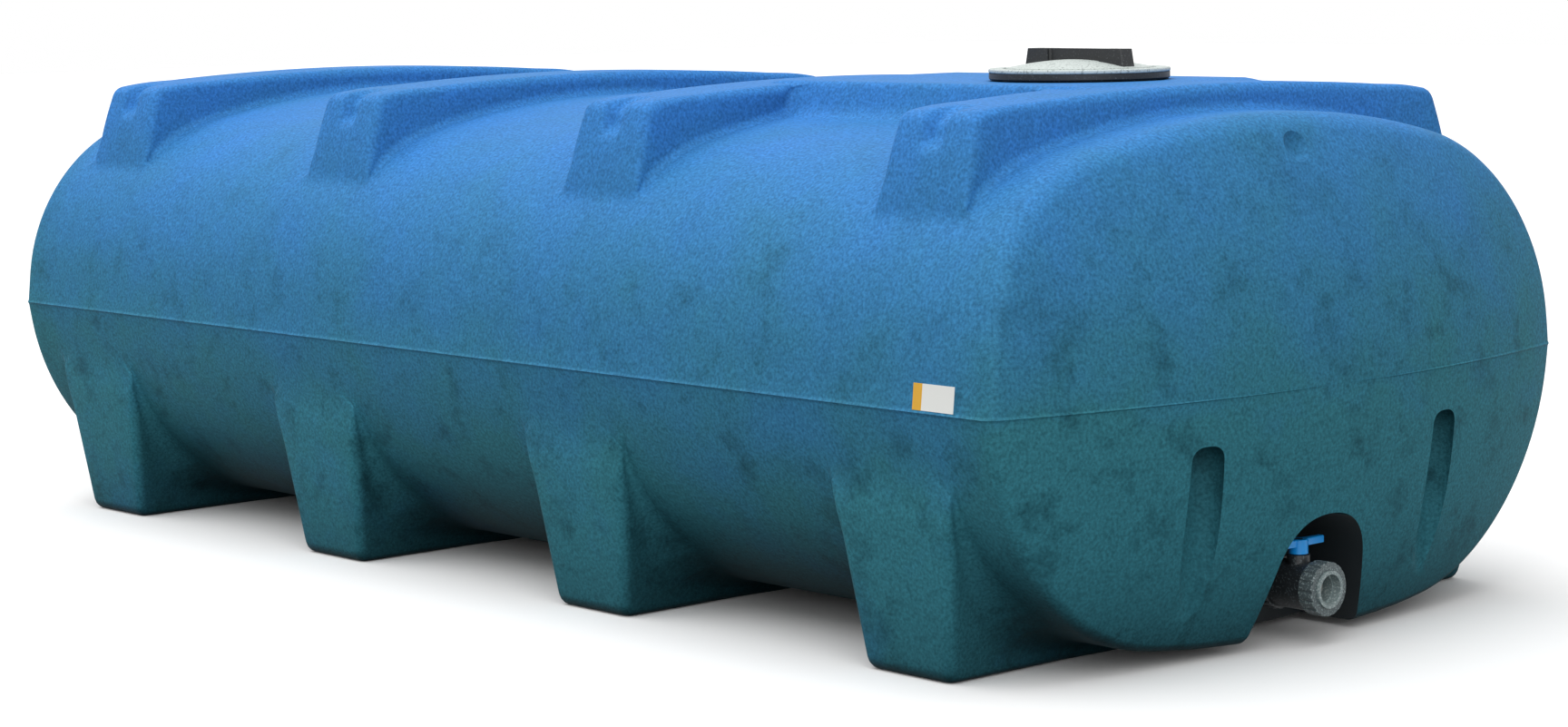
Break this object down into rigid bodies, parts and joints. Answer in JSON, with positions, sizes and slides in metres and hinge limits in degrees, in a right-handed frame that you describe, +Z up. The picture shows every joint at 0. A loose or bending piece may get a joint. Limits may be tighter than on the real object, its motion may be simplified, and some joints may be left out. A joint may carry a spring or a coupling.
{
  "type": "horizontal water tank",
  "caption": "Long moulded polyethylene water tank lying on its own feet, with strap ribs over the top, a lift-off manhole lid and a ball valve in a niche at one end.",
  "frame": {"origin": "middle of the footprint, on the ground under the feet", "axes": "+X along the tank towards the outlet end, +Z up"},
  "size_m": [3.8682, 1.7782, 1.2135],
  "materials": {
    "blue_polyethylene": "satin, fine moulded grain",
    "pale_lid": "satin moulded",
    "black_plastic": "moulded",
    "seal_rubber": "matte",
    "grey_valve_plastic": "moulded",
    "white_seat_plastic": "machined",
    "blue_handle_plastic": "moulded"
  },
  "bodies": {
    "tank": {"tank_top": "blue_polyethylene", "tank_bottom": "blue_polyethylene", "outlet_end": "blue_polyethylene", "closed_end": "blue_polyethylene", "valve_niche": "blue_polyethylene", "lid_deck": "blue_polyethylene", "parting_bead": "blue_polyethylene", "rib_1": "blue_polyethylene", "rib_2": "blue_polyethylene", "rib_3": "blue_polyethylene", "rib_4": "blue_polyethylene", "foot_1": "blue_polyethylene", "foot_2": "blue_polyethylene", "foot_3": "blue_polyethylene", "foot_4": "blue_polyethylene", "manhole_collar": "black_plastic", "lid_gasket": "seal_rubber", "tank_connector": "grey_valve_plastic", "flange_seal": "seal_rubber", "connector_nut": "grey_valve_plastic", "inlet_union_nut": "grey_valve_plastic", "outlet_union_nut": "grey_valve_plastic", "outlet_tail": "grey_valve_plastic", "valve_body": "grey_valve_plastic", "inlet_seat": "white_seat_plastic", "outlet_seat": "white_seat_plastic"},
    "lid": {"lid_cover": "pale_lid", "lid_grip": "black_plastic"},
    "valve_handle": {"valve_handle": "blue_handle_plastic", "valve_stem": "grey_valve_plastic", "valve_ball": "grey_valve_plastic"}
  },
  "joints": [
    {"name": "lid_lift", "type": "slide", "parent": "tank", "child": "lid", "axis": [0, 0, 1], "range_m": [0, 0.3]},
    {"name": "valve_turn", "type": "hinge", "parent": "tank", "child": "valve_handle", "pos_m": [1.82, 0, 0.118], "axis": [0, 0, 1], "range_deg": [0, 90]}
  ]
}
